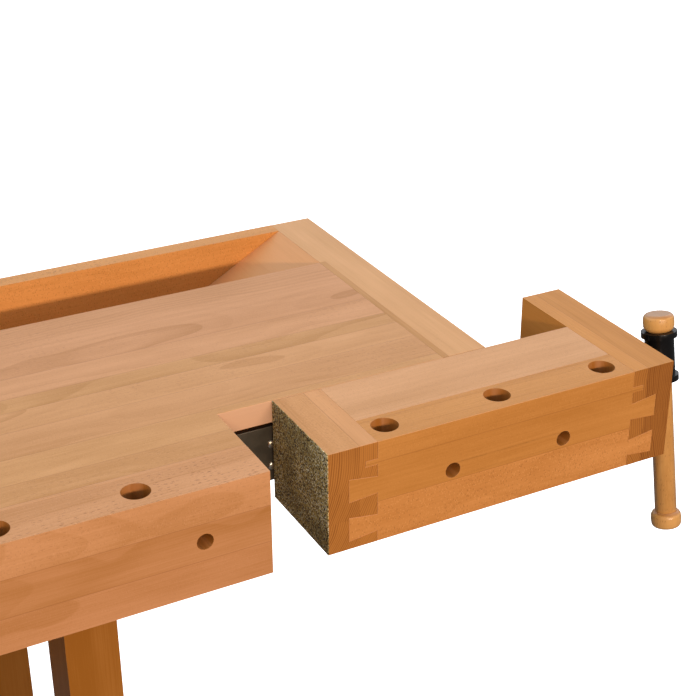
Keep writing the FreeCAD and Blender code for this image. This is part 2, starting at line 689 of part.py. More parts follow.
def nodes():
    """Every piece of the bench, by name, grouped by the body that it moves with."""
    cap_slots = runner_slots(INNER_RIGHT, CAP_RIGHT)
    screws = plate_screws()
    bolts = nut_bolts()
    tray = tray_screws()
    casting_screws = front_plate_screws()
    bench = {
        "worktop_panel": worktop_panel(),
        "front_apron": front_apron().cut(casting_screws),
        "notch_block": notch_block(),
        "end_cap_right": end_cap(INNER_RIGHT, CAP_RIGHT, NOTCH_BACK, cap_slots),
        "end_cap_left": end_cap(INNER_LEFT, CAP_LEFT, APRON, []),
        "end_cap_strip_right": spline_strip(INNER_RIGHT, CAP_RIGHT, NOTCH_BACK),
        "end_cap_strip_left": spline_strip(INNER_LEFT, CAP_LEFT, APRON),
        "back_rail": back_rail().cut(tray),
        "tray_front_rail": tray_front_rail().cut(tray),
        "tray_floor": tray_floor().cut(tray),
        "tray_ramp_right": tray_ramp(INNER_RIGHT, -1),
        "tray_ramp_left": tray_ramp(INNER_LEFT, 1),
        "tray_screws": group(tray),
        "guide_beam": guide_beam().cut(screws + bolts),
        "guide_plate": guide_plate().cut(screws + bolts),
        "guide_plate_screws": group(screws),
        "tail_nut": tail_nut().cut(bolts),
        "tail_nut_bolts": group(bolts),
        "front_nut_plate": front_nut_plate().cut(casting_screws),
        "front_nut_plate_screws": group(casting_screws),
        "stretcher_bolts": group(stretcher_bolts()),
        "barrel_nuts": group(barrel_nuts()),
        "foot_pads": group(foot_pads()),
        "bearer_screws": group([s for side in LEG_LEFT_SIDES for s in bearer_screws(side)]),
    }
    for side in LEG_LEFT_SIDES:
        bench["bearer_" + side] = bearer(side)
        bench["foot_" + side] = foot(side)
        for place in LEG_FRONTS:
            bench["leg_" + place + "_" + side] = leg(side, place)
    for place in LEG_FRONTS:
        bench["stretcher_" + place] = stretcher(place)

    hub, handle = tail_axes()
    arm_face = Vector(ARM_RIGHT, TAIL_SCREW_Y, TAIL_SCREW_Z)
    arm_screws = thrust_screws(arm_face, X, Z)
    ring_start = Vector(ARM_LEFT - RING_PLAY - RING_THICK, TAIL_SCREW_Y, TAIL_SCREW_Z)
    ring = rod(ring_start, X, RING_RADIUS, RING_THICK)
    tail_vise = {
        "tail_jaw": tail_jaw(),
        "tail_jaw_lining": tail_jaw_lining(),
        "tail_front_rail": tail_front_rail(),
        "tail_arm": tail_arm().cut(arm_screws),
        "tail_cover": tail_cover(),
        "tail_runner_upper": tail_runner(PLATE_TOP, 1),
        "tail_runner_lower": tail_runner(PLATE_FOOT, -1),
        "tail_runner_bolts": group(runner_bolts()),
        "tail_thrust_plate": thrust_plate(arm_face, X, Z).cut(arm_screws),
        "tail_thrust_screws": group(arm_screws),
    }
    tail_screw = {
        "tail_spindle": spindle(hub, X, TAIL_HUB_X - TAIL_SPINDLE_END),
        "tail_hub": hub_casting(hub, X, handle, TAIL_HUB_X - ARM_RIGHT),
        "tail_retaining_ring": ring.cut(rod(ring_start, X, SPINDLE, RING_THICK)),
    }
    front_hub = Vector(FRONT_X, FRONT_HUB_Y, FRONT_SCREW_Z)
    jaw_face = Vector(FRONT_X, -FRONT_OPEN - FRONT_JAW, FRONT_SCREW_Z)
    jaw_screws = thrust_screws(jaw_face, -Y, Z)
    front_vise = {
        "front_jaw": front_jaw().cut(jaw_screws),
        "front_guide_rods": group(front_guide_rods()),
        "front_thrust_plate": thrust_plate(jaw_face, -Y, Z).cut(jaw_screws),
        "front_thrust_screws": group(jaw_screws),
    }
    front_screw = {
        "front_spindle": spindle(front_hub, -Y, FRONT_SPINDLE_END - FRONT_HUB_Y),
        "front_hub": hub_casting(front_hub, -Y, Z, TAIL_HUB_X - ARM_RIGHT),
    }
    return {"bench": bench, "tail_vise": tail_vise, "tail_screw": tail_screw,
            "tail_handle": handle_pieces("tail", hub, handle),
            "front_vise": front_vise, "front_screw": front_screw,
            "front_handle": handle_pieces("front", front_hub, Z)}


def in_frame(shape):
    moved = shape.copy()
    moved.translate(-ORIGIN)
    return moved


BODIES = nodes()
os.makedirs("parts", exist_ok=True)
for body, members in BODIES.items():
    for name, shape in members.items():
        in_frame(shape).exportStep("parts/" + name + ".step")
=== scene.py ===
import json
import math

import bmesh
import bpy
from mathutils import Matrix, Vector, noise

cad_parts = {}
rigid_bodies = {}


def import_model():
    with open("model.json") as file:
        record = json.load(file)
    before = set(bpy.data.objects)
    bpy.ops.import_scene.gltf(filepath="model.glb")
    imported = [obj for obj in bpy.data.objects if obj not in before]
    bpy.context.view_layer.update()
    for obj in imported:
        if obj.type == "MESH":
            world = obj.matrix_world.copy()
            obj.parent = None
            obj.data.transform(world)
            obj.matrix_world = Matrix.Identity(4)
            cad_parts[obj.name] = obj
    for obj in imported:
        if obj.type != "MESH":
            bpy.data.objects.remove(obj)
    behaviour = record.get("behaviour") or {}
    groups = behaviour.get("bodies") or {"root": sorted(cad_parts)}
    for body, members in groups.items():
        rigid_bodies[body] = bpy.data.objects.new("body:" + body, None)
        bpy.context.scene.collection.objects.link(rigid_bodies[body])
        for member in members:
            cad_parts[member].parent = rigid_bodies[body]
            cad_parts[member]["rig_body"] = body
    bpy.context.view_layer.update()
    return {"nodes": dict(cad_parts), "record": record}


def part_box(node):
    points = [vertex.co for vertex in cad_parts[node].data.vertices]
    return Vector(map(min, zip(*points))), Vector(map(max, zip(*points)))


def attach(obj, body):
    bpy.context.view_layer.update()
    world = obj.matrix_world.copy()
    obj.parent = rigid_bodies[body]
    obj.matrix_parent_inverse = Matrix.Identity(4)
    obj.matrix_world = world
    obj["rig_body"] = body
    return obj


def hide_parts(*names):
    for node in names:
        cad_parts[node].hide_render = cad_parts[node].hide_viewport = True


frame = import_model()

# Looks of the joiner's bench. Everything is in metres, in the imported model's own frame:
# X along the bench towards the tail vise, Y to the back, Z up from the floor.

MM = 0.001
X, Y, Z = Vector((1, 0, 0)), Vector((0, 1, 0)), Vector((0, 0, 1))


# ---- places, read from the frame ----

def low(node):
    return Vector(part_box(node)[0])


def high(node):
    return Vector(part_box(node)[1])


def middle(node):
    return (low(node) + high(node)) / 2


TOP = high("worktop_panel").z
APRON_CORNER = Vector((high("front_apron").x, low("front_apron").y, TOP))


# ---- node graphs ----

class Graph:
    """A material's node tree, with a short way to add and join nodes."""

    def __init__(self, name):
        self.material = bpy.data.materials.new(name)
        self.material.use_nodes = True
        self.tree = self.material.node_tree
        self.shader = self.tree.nodes["Principled BSDF"]

    def add(self, kind, settings=None, **inputs):
        node = self.tree.nodes.new("ShaderNode" + kind)
        for key, value in (settings or {}).items():
            setattr(node, key, value)
        for key, value in inputs.items():
            self.feed(self.socket(node, key), value)
        return node

    @staticmethod
    def socket(node, key):
        """An input by its name, in lower case with _ for a space, or by number as n0, n1."""
        if key[0] == "n" and key[1:].isdigit():
            return node.inputs[int(key[1:])]
        for s in node.inputs:
            if s.enabled and s.name.lower().replace(" ", "_") == key:
                return s
        raise KeyError(key)

    def feed(self, socket, value):
        if isinstance(value, bpy.types.NodeSocket):
            self.tree.links.new(value, socket)
        else:
            socket.default_value = value

    def math(self, operation, a, b=0.0, c=0.0, clamp=False):
        settings = {"operation": operation, "use_clamp": clamp}
        return self.add("Math", settings, n0=a, n1=b, n2=c).outputs[0]

    def vector(self, x, y, z):
        return self.add("CombineXYZ", None, n0=x, n1=y, n2=z).outputs[0]

    def noise(self, vector, scale=1.0, detail=3.0, roughness=0.5):
        node = self.add("TexNoise", None, vector=vector, scale=scale, detail=detail,
                        roughness=roughness)
        return node.outputs[0]

    def smooth(self, value, start, end):
        """0 at start, 1 at end, smooth between them."""
        settings = {"interpolation_type": "SMOOTHSTEP"}
        node = self.add("MapRange", settings, value=value, from_min=start, from_max=end)
        return node.outputs[0]

    def between(self, value, start, end):
        """value from 0 to 1, as a number from start to end."""
        return self.add("MapRange", None, value=value, to_min=start, to_max=end).outputs[0]

    def mix(self, factor, a, b, blend="MIX"):
        node = self.add("Mix", {"data_type": "RGBA", "blend_type": blend}, factor=factor)
        self.feed(node.inputs[6], self.opaque(a))
        self.feed(node.inputs[7], self.opaque(b))
        return node.outputs[2]

    @staticmethod
    def opaque(color):
        return (*color, 1.0) if isinstance(color, tuple) else color

    def bump(self, height, distance, strength):
        node = self.add("Bump", None, height=height, distance=distance, strength=strength)
        return node.outputs[0]

    def here(self):
        """Where a point is, in metres."""
        return self.add("TexCoord").outputs["Object"]

    def finish(self, color, roughness, normal=None, **fixed):
        inputs = self.shader.inputs
        self.feed(inputs["Base Color"], color)
        self.feed(inputs["Roughness"], roughness)
        if normal is not None:
            self.feed(inputs["Normal"], normal)
        for key, value in fixed.items():
            inputs[key.replace("_", " ")].default_value = value
        return self.material


# ---- wood ----

BEECH_PALE = (0.780, 0.418, 0.205)
BEECH_DARK = (0.400, 0.170, 0.030)
WARM = (1.0, 0.85, 0.38)    # what the warmest boards are multiplied by
PINKISH = (1.0, 0.96, 1.04)  # each stave is multiplied by a colour between these two
YELLOWISH = (1.0, 1.03, 0.93)
FLECK_DARK = (0.230, 0.075, 0.018)
FLECK_LIGHT = (0.860, 0.520, 0.280)
SAWN = (0.770, 0.490, 0.310)
END_LIGHT = (0.500, 0.200, 0.036)
END_DARK = (0.215, 0.068, 0.008)
# bore walls are darkened towards this: partly the bored wood's own colour, partly painted shade
# inside the holes
BORE_WALL_AND_SHADE = (0.310, 0.110, 0.014)
SEED_STEP = 1.37            # metres along the grain between the noises of two boards
STAVE_STEP = 3.71           # and between those of two staves
DRAW_STEP = 7.3             # between the draws of two boards for their piths and hues
PITH_SPREAD = 24 * MM       # how far apart the drawn piths can be, on either axis
RING_BEND = 36 * MM         # how far slow noise can shift the growth rings
STAVE = 42 * MM             # usual width of a stave
GLUE_EDGE, GLUE_CORE = 0.42 * MM, 0.12 * MM     # half widths of a glue line, faint and full
RING = 3.6 * MM             # width of a growth ring on the long-grain faces
END_RING = 2.1 * MM         # and in the end grain
GRAIN_ORDER = {"x": (0, 1, 2), "y": (1, 0, 2), "z": (2, 0, 1)}


class Grain:
    """A place measured along the fibres and across them, with noises drawn out along them."""

    def __init__(self, graph, grain, slide):
        self.graph = graph
        split = graph.add("SeparateXYZ", None, n0=graph.here())
        along, self.a, self.b = (split.outputs[i] for i in GRAIN_ORDER[grain])
        self.along = graph.math("ADD", along, slide)

    def scaled(self, along, across):
        g = self.graph
        return g.vector(g.math("MULTIPLY", self.along, along), g.math("MULTIPLY", self.a, across),
                        g.math("MULTIPLY", self.b, across))

    def streaks(self, along, across, detail=3.0, roughness=0.5):
        return self.graph.noise(self.scaled(along, across), detail=detail, roughness=roughness)

    def marks(self, along, across, size, share):
        """Small marks, one in some of the cells of a Voronoi pattern."""
        g = self.graph
        cell = g.add("TexVoronoi", {"feature": "F1"}, vector=self.scaled(along, across), scale=1.0)
        mark = g.smooth(cell.outputs["Distance"], size, 0.5 * size)
        chance = g.add("SeparateColor", None, n0=cell.outputs["Color"]).outputs[0]
        return g.math("MULTIPLY", mark, g.smooth(chance, 1.05 - share, 1.0 - share + 0.1))


class Staves:
    """The boards that one piece is glued up from, told apart by glue lines across it.

    Glue lines across Z are listed from the top down, and others from the low side up.
    """

    def __init__(self, graph, side, places, from_top):
        self.graph = graph
        self.side = side
        self.places = places
        self.step = -STAVE if from_top else STAVE
        self.past = []
        self.index = 0.0
        self.line = 0.0
        for place in places:
            past = graph.math("LESS_THAN" if from_top else "GREATER_THAN", side, place)
            gap = graph.math("ABSOLUTE", graph.math("SUBTRACT", side, place))
            self.past.append(past)
            self.index = graph.math("ADD", self.index, past)
            self.line = graph.math("MAXIMUM", self.line, graph.smooth(gap, GLUE_EDGE, GLUE_CORE))

    def from_middle(self):
        """How far across it a point is from the middle of its own stave."""
        first, last = self.places[0] - self.step / 2, self.places[-1] + self.step / 2
        inner = [(a + b) / 2 for a, b in zip(self.places, self.places[1:])]
        return self.graph.math("SUBTRACT", self.side, self.value([first, *inner, last]))

    def value(self, numbers):
        """A number for each stave, in order, or one number for all of them."""
        if isinstance(numbers, (int, float)):
            return float(numbers)
        total = float(numbers[0])
        for past, before, after in zip(self.past, numbers, numbers[1:]):
            total = self.graph.math("MULTIPLY_ADD", past, after - before, total)
        return total


def object_normal(g):
    normal = g.add("SeparateXYZ", None, n0=g.add("TexCoord").outputs["Normal"])
    return [g.math("ABSOLUTE", part) for part in normal.outputs]


def end_facing(g, axis):
    """1 where the surface faces along an axis of the object."""
    return g.smooth(object_normal(g)[axis], 0.6, 0.8)


def arris(g):
    """1 on the eased edges of a square board, where the surface faces between two axes."""
    # this mask places the painted highlight along the eased arrises
    x, y, z = object_normal(g)
    upright = g.math("MULTIPLY", z, g.math("MAXIMUM", x, y))
    return g.smooth(g.math("MULTIPLY_ADD", x, y, upright), 0.10, 0.42)


def bore_walls(g, board):
    """1 on the walls of the bores that the record lists under a board's name."""
    inside = 0.0
    for mount in frame["record"]["mounts"]:
        if mount["kind"] != "bore" or not mount["name"].startswith(board):
            continue
        across = tuple(1.0 - abs(part) for part in mount["axis"])
        centre = tuple(place * part for place, part in zip(mount["pos_m"], across))
        flat = g.add("VectorMath", {"operation": "MULTIPLY"}, n0=g.here(), n1=across).outputs[0]
        gap = g.add("VectorMath", {"operation": "DISTANCE"}, n0=flat, n1=centre).outputs["Value"]
        radius = mount["dims"]["r_mm"] * MM
        wall = g.smooth(gap, radius + 0.40 * MM, radius + 0.10 * MM)
        inside = g.math("MAXIMUM", inside, wall)
    return inside


def growth_rings(g, radius, width, weakest):
    """0 in the light early wood and up to 1 in the dark late wood, stronger in some years."""
    turn = g.math("DIVIDE", radius, width)
    year = g.math("FRACT", turn)
    late = g.math("MULTIPLY", g.smooth(year, 0.25, 0.93), g.smooth(year, 1.0, 0.94))
    strong = g.add("TexWhiteNoise", {"noise_dimensions": "1D"}, n1=g.math("FLOOR", turn))
    strong = g.math("POWER", strong.outputs[0], 2.0)
    return g.math("MULTIPLY", late, g.between(strong, weakest, 1.0))


def centred(g, value, amount, total):
    """total, and a noise's difference from its middle, amount times."""
    return g.math("MULTIPLY_ADD", g.math("SUBTRACT", value, 0.5), amount, total)


def pore_ticks(g, w, cloud, amount):
    """Short dark pores in drifts, strongest on the faces that look up."""
    tick = g.math("MULTIPLY", w.marks(150.0, 900.0, 0.34, 0.55), g.smooth(cloud, 0.46, 0.62))
    tick = g.math("MULTIPLY", tick, amount)
    return g.math("MULTIPLY", tick, g.between(end_facing(g, 2), 0.35, 1.0))


def ray_flecks(g, w, face, amount):
    """face with light and dark flecks, which are longer across the grain than along it."""
    pale = g.math("MULTIPLY", w.marks(900.0, 340.0, 0.40, 0.60), amount)
    dark = g.math("MULTIPLY", w.marks(700.0, 300.0, 0.36, 0.70), amount)
    return g.mix(dark, g.mix(pale, face, FLECK_LIGHT), FLECK_DARK)


def end_grain(g, radius, blotch, own_tone, end_tone):
    """The colour where the surface faces along the fibres."""
    pores = g.noise(g.here(), scale=2300.0, detail=2.0)
    dark = g.math("MULTIPLY", growth_rings(g, radius, END_RING, 0.40), 0.80)
    dark = centred(g, pores, 0.5, dark)
    dark = centred(g, blotch, 0.3, dark)
    dark = g.math("MULTIPLY_ADD", own_tone, -0.5, dark)
    dark = g.math("ADD", dark, 0.18 - end_tone, clamp=True)
    return g.mix(dark, END_LIGHT, END_DARK)


def beech(name, grain, seed, centre, pith, tone=0.0, warm=0.2, rings=0.10, staves=(), across="a",
          tones=0.0, blocks=(), block_tones=0.0, sawn=0.0, end_tone=0.0, ticks=0.5,
          rays=0.0, bores=None, edges=0.5, light=1.0):
    """Laminated beech.

    grain is the axis that the fibres run along; a and b are the other two axes, in order.
    centre is the board's middle, (a, b), and pith how far from it the growth rings have theirs,
    in mm; along the across axis, pith counts from the middle of each stave.
    staves lists the glue lines' places along the across axis, and blocks those along the other
    one. tones and block_tones say how light each part between them is, and tone the whole
    piece: -1 is dark, 1 is pale. end_tone lightens the end grain, and light multiplies the
    colour of the other faces; on the legs that darkening is partly their own darker wood and
    partly painted shade. warm is 0 for pinkish wood and 1 for orange. sawn is how raw the faces
    across a are, and edges how strongly the arrises are paled, a painted highlight. ticks are
    the short dark pores and rays the flecks across the grain, each one number or one a stave.
    bores is what the names of the bores in the board start with; their walls are darkened,
    partly for the bored wood and partly as painted shade inside the holes.
    """
    g = Graph(name)
    w = Grain(g, grain, seed * SEED_STEP)
    sides = {"a": (w.a, GRAIN_ORDER[grain][1]), "b": (w.b, GRAIN_ORDER[grain][2])}
    side, axis = sides[across]
    laid = Staves(g, side, staves, axis == 2)
    side, axis = sides["b" if across == "a" else "a"]
    stacked = Staves(g, side, blocks, axis == 2)
    line = g.math("MAXIMUM", laid.line, stacked.line)
    index = g.math("MULTIPLY_ADD", stacked.index, 3.0, laid.index)
    own_tone = g.math("ADD", laid.value(tones), stacked.value(block_tones))
    w.along = g.math("MULTIPLY_ADD", index, STAVE_STEP, w.along)

    # growth rings round each stave's own pith, bent by slow noise along the grain
    draw = g.math("ADD", index, seed * DRAW_STEP)
    own = g.add("TexWhiteNoise", {"noise_dimensions": "1D"}, n1=draw)
    own_a, own_b, own_hue = g.add("SeparateColor", None, n0=own.outputs["Color"]).outputs
    away = {"a": g.math("SUBTRACT", w.a, centre[0]), "b": g.math("SUBTRACT", w.b, centre[1])}
    if staves:
        away[across] = laid.from_middle()
    da = centred(g, own_a, PITH_SPREAD, g.math("SUBTRACT", away["a"], pith[0] * MM))
    db = centred(g, own_b, PITH_SPREAD, g.math("SUBTRACT", away["b"], pith[1] * MM))
    square = g.math("ADD", g.math("MULTIPLY", da, da), g.math("MULTIPLY", db, db))
    bend = w.streaks(3.6, 8.0, detail=2.0)
    radius = g.math("MULTIPLY_ADD", bend, RING_BEND, g.math("SQRT", square))

    fibre = w.streaks(16.0, 800.0, detail=4.0, roughness=0.6)
    fine = w.streaks(3.0, 130.0)
    broad = w.streaks(1.2, 24.0, detail=2.0)
    blotch = w.streaks(9.0, 30.0, detail=2.0)
    cloud = w.streaks(4.0, 13.0, detail=2.0)

    # long-grain faces: pale wood, darkened by rings, streaks and the stave's own tone
    dark = g.math("MULTIPLY", growth_rings(g, radius, RING, 0.10), rings)
    dark = centred(g, fibre, 0.36, dark)
    dark = centred(g, fine, 0.26, dark)
    dark = centred(g, broad, 0.48, dark)
    dark = centred(g, blotch, 0.34, dark)
    dark = g.math("MULTIPLY_ADD", own_tone, -0.3, dark)
    dark = g.math("ADD", dark, 0.55 - 0.3 * tone, clamp=True)
    face = g.mix(dark, BEECH_PALE, BEECH_DARK)
    tick = pore_ticks(g, w, cloud, laid.value(ticks))
    face = g.mix(tick, face, FLECK_DARK)
    face = ray_flecks(g, w, face, laid.value(rays))
    face = g.mix(g.math("MULTIPLY", line, 0.35), face, FLECK_DARK)
    # light darkens the long-grain faces; on the legs this is partly their darker wood and partly
    # painted shade
    warmth = tuple(light * (1 + warm * (part - 1)) for part in WARM)
    face = g.mix(1.0, face, warmth, "MULTIPLY")
    face = g.mix(1.0, face, g.mix(own_hue, PINKISH, YELLOWISH), "MULTIPLY")
    if sawn:
        face = g.mix(g.math("MULTIPLY", end_facing(g, GRAIN_ORDER[grain][1]), sawn), face, SAWN)
    # painted highlight: the eased arrises are paled, standing in for the sky's reflection along
    # them
    face = g.mix(g.math("MULTIPLY", arris(g), edges), face, BEECH_PALE)

    end = end_facing(g, GRAIN_ORDER[grain][0])
    color = g.mix(end, face, end_grain(g, radius, blotch, own_tone, end_tone))

    # darker bore walls: partly the bored wood's own colour, partly painted shade inside the holes
    if bores:
        color = g.mix(g.math("MULTIPLY", bore_walls(g, bores), 0.8), color, BORE_WALL_AND_SHADE)

    rough = centred(g, fibre, 0.14, 0.46)
    rough = g.math("MULTIPLY_ADD", end, 0.15, rough)
    relief = g.math("MULTIPLY_ADD", tick, -1.0, fibre)
    relief = g.math("MULTIPLY_ADD", line, -2.5, relief)
    return g.finish(color, rough, g.bump(relief, 0.05 * MM, 0.5), Specular_IOR_Level=0.24)


PLY_SEED = 3.1
TWO_PLIES = 2.7 * MM        # thickness of a light and a dark ply together


def plywood(name):
    """The tray floor: beech veneer on top, plies showing at its edges."""
    g = Graph(name)
    w = Grain(g, "x", PLY_SEED)
    fibre = w.streaks(10.0, 700.0, detail=4.0)
    wave = w.streaks(1.5, 22.0)
    dark = g.math("MULTIPLY_ADD", fibre, 0.4, g.math("MULTIPLY", wave, 0.8))
    face = g.mix(g.math("SUBTRACT", dark, 0.2, clamp=True), BEECH_PALE, BEECH_DARK)
    ply = g.math("FRACT", g.math("DIVIDE", w.b, TWO_PLIES))
    edge = g.mix(g.smooth(ply, 0.45, 0.55), END_LIGHT, END_DARK)
    return g.finish(g.mix(end_facing(g, 2), edge, face), g.between(fibre, 0.45, 0.6),
                    g.bump(fibre, 0.04 * MM, 0.5))


TURNED_PALE, TURNED_DARK = (0.740, 0.400, 0.118), (0.410, 0.158, 0.022)
TURNED_END_PALE, TURNED_END_DARK = (0.600, 0.300, 0.096), (0.420, 0.172, 0.038)


def turned_beech(name, seed, dark=0.30):
    """The lacquered wood of the handles: dark is 0 for pale wood and 1 for dark."""
    g = Graph(name)
    w = Grain(g, "z", float(seed))
    fibre = w.streaks(20.0, 900.0, detail=4.0)
    band = w.streaks(4.0, 110.0)
    tick = g.math("MULTIPLY", w.marks(190.0, 900.0, 0.36, 0.4), 0.5)
    shade = centred(g, fibre, 0.5, dark)
    shade = centred(g, band, 0.9, shade)
    color = g.mix(g.math("ADD", shade, 0.0, clamp=True), TURNED_PALE, TURNED_DARK)
    color = g.mix(tick, color, FLECK_DARK)
    color = g.mix(end_facing(g, 2), color, g.mix(band, TURNED_END_PALE, TURNED_END_DARK))
    return g.finish(color, g.between(fibre, 0.26, 0.38), g.bump(fibre, 0.03 * MM, 0.4),
                    Specular_IOR_Level=0.35, Coat_Weight=0.5, Coat_Roughness=0.12)


# ---- other materials ----

def cork_rubber(name):
    """Granulate of cork and rubber crumbs: olive, brown, beige and near-black grains."""
    g = Graph(name)
    here = g.here()
    warp = g.add("TexNoise", None, vector=here, scale=700.0, detail=2.0)
    moved = g.add("Mix", {"data_type": "VECTOR"}, factor=0.0008)
    g.feed(moved.inputs[4], here)
    g.feed(moved.inputs[5], warp.outputs["Color"])
    cell = g.add("TexVoronoi", {"feature": "F1"}, vector=moved.outputs[1], scale=760.0)
    chance = g.add("SeparateColor", None, n0=cell.outputs["Color"])
    ramp = g.add("ValToRGB", None, n0=chance.outputs[0])
    colors = [(0.0, (0.060, 0.042, 0.008)), (0.18, (0.330, 0.225, 0.050)),
              (0.38, (0.640, 0.465, 0.150)), (0.60, (0.880, 0.690, 0.290)),
              (0.80, (0.980, 0.900, 0.600))]
    elements = ramp.color_ramp.elements
    ramp.color_ramp.interpolation = "CONSTANT"
    elements[0].position, elements[0].color = colors[0][0], (*colors[0][1], 1)
    elements[1].position, elements[1].color = colors[1][0], (*colors[1][1], 1)
    for place, color in colors[2:]:
        elements.new(place).color = (*color, 1)
    edge = g.smooth(cell.outputs["Distance"], 0.34, 0.66)
    color = g.mix(g.math("MULTIPLY", edge, 0.5), ramp.outputs[0], (0.050, 0.038, 0.014))
    patch = g.noise(here, scale=22.0, detail=1.0)
    color = g.mix(g.smooth(patch, 0.62, 0.38), color, (0.60, 0.57, 0.46), "MULTIPLY")
    relief = g.math("SUBTRACT", chance.outputs[1], edge)
    return g.finish(color, g.between(chance.outputs[2], 0.7, 0.95), g.bump(relief, 0.4 * MM, 0.7))


def cast_iron(name):
    """Black enamelled casting with a slightly uneven, half-glossy skin."""
    g = Graph(name)
    here = g.here()
    skin = g.noise(here, scale=420.0, detail=4.0, roughness=0.6)
    cloud = g.noise(here, scale=60.0, detail=2.0)
    color = g.mix(cloud, (0.003, 0.003, 0.003), (0.009, 0.009, 0.009))
    worn = g.smooth(g.add("NewGeometry").outputs["Pointiness"], 0.53, 0.60)
    color = g.mix(g.math("MULTIPLY", worn, 0.12), color, (0.10, 0.09, 0.08))
    return g.finish(color, g.between(skin, 0.16, 0.30), g.bump(skin, 0.12 * MM, 0.25),
                    Specular_IOR_Level=0.24)


def steel(name, color, rough, scratches):
    """Bare or browned steel with fine marks along X."""
    g = Graph(name)
    x, y, z = g.add("SeparateXYZ", None, n0=g.here()).outputs
    mark = g.noise(g.vector(g.math("MULTIPLY", x, 22.0), g.math("MULTIPLY", y, 1500.0),
                            g.math("MULTIPLY", z, 1500.0)), detail=4.0)
    stain = g.noise(g.here(), scale=55.0, detail=4.0)
    dull = tuple(0.72 * c for c in color)
    shade = g.mix(g.smooth(stain, 0.35, 0.7), color, dull)
    shade = g.mix(g.math("MULTIPLY", mark, 0.25), shade, tuple(0.55 * c for c in color))
    roughness = g.math("MULTIPLY_ADD", g.math("SUBTRACT", mark, 0.5), 0.3 * scratches, rough)
    return g.finish(shade, roughness, g.bump(mark, 0.02 * MM, scratches), Metallic=1.0)


def zinc(name):
    """Yellow-passivated screws."""
    g = Graph(name)
    tint = g.noise(g.here(), scale=260.0, detail=3.0)
    color = g.mix(g.smooth(tint, 0.35, 0.65), (0.72, 0.66, 0.50), (0.66, 0.60, 0.56))
    return g.finish(color, g.between(tint, 0.22, 0.38), Metallic=1.0)


def rubber(name):
    g = Graph(name)
    grain = g.noise(g.here(), scale=1800.0, detail=3.0)
    color = g.mix(grain, (0.018, 0.018, 0.019), (0.035, 0.034, 0.033))
    return g.finish(color, g.between(grain, 0.7, 0.9), g.bump(grain, 0.08 * MM, 0.6))


def studio_floor(name):
    """A plain white floor, as bright as the backdrop of a cut-out picture."""
    g = Graph(name)
    cloud = g.noise(g.here(), scale=3.0, detail=2.0)
    color = g.mix(cloud, (0.90, 0.90, 0.90), (0.93, 0.93, 0.93))
    return g.finish(color, 0.9, Emission_Color=(1, 1, 1, 1), Emission_Strength=1.0)


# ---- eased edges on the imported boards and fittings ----

SAME_POINT = 0.005 * MM     # vertices nearer than this are one corner


def dress(node, material, ease=0.0, segments=2):
    """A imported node's material, and its edges rounded by ease."""
    o = frame["nodes"][node]
    for slot in o.material_slots:
        slot.material = material
    if not o.material_slots:
        o.data.materials.append(material)
    if ease:
        weld = o.modifiers.new("weld", "WELD")
        weld.merge_threshold = SAME_POINT
        bevel = o.modifiers.new("ease", "BEVEL")
        bevel.width = ease
        bevel.segments = segments
        bevel.limit_method = "ANGLE"
        bevel.angle_limit = math.radians(40)
        bevel.harden_normals = True
    return o


# ---- modelled pieces in place of plain ones ----

def solids(node):
    """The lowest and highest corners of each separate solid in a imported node."""
    bm = bmesh.new()
    bm.from_mesh(frame["nodes"][node].data)
    bmesh.ops.remove_doubles(bm, verts=bm.verts, dist=SAME_POINT)
    left = set(bm.verts)
    boxes = []
    while left:
        found = [left.pop()]
        for vert in found:
            for edge in vert.link_edges:
                other = edge.other_vert(vert)
                if other in left:
                    left.remove(other)
                    found.append(other)
        boxes.append([Vector([pick(v.co[i] for v in found) for i in range(3)])
                      for pick in (min, max)])
    bm.free()
    return boxes


def towards(axis):
    """Turns Z onto an axis."""
    return Z.rotation_difference(axis).to_matrix().to_4x4()


def lathe(bm, profile, steps=32):
    """Adds a body of revolution about Z, from a profile of (radius, height)."""
    rings = []
    for radius, height in profile:
        turns = [2 * math.pi * k / steps for k in range(steps)] if radius else [0.0]
        ring = [bm.verts.new((radius * math.cos(t), radius * math.sin(t), height)) for t in turns]
        rings.append(ring * (1 if radius else steps))
    for lower, upper in zip(rings, rings[1:]):
        for k in range(steps):
            n = (k + 1) % steps
            corners = list(dict.fromkeys([lower[k], lower[n], upper[n], upper[k]]))
            if len(corners) > 2:
                bm.faces.new(corners)


def slab(bm, middle_point, half):
    """Adds a box round a point."""
    for vert in bmesh.ops.create_cube(bm, size=2.0)["verts"]:
        vert.co = middle_point + Vector([c * h for c, h in zip(vert.co, half)])


def drawn(fill):
    """A mesh, as fill draws it."""
    bm = bmesh.new()
    fill(bm)
    bmesh.ops.recalc_face_normals(bm, faces=bm.faces)
    mesh = bpy.data.meshes.new("drawn")
    bm.to_mesh(mesh)
    bm.free()
    return mesh


def combined(body, tool, operation):
    """The mesh of body cut by tool, or of what they share."""
    pair = [bpy.data.objects.new("drawn", mesh) for mesh in (body, tool)]
    for o in pair:
        bpy.context.scene.collection.objects.link(o)
    step = pair[0].modifiers.new("combine", "BOOLEAN")
    step.operation = operation
    step.solver = "EXACT"
    step.object = pair[1]
    graph = bpy.context.evaluated_depsgraph_get()
    mesh = bpy.data.meshes.new_from_object(pair[0].evaluated_get(graph))
    for o in pair:
        bpy.data.objects.remove(o)
    return mesh


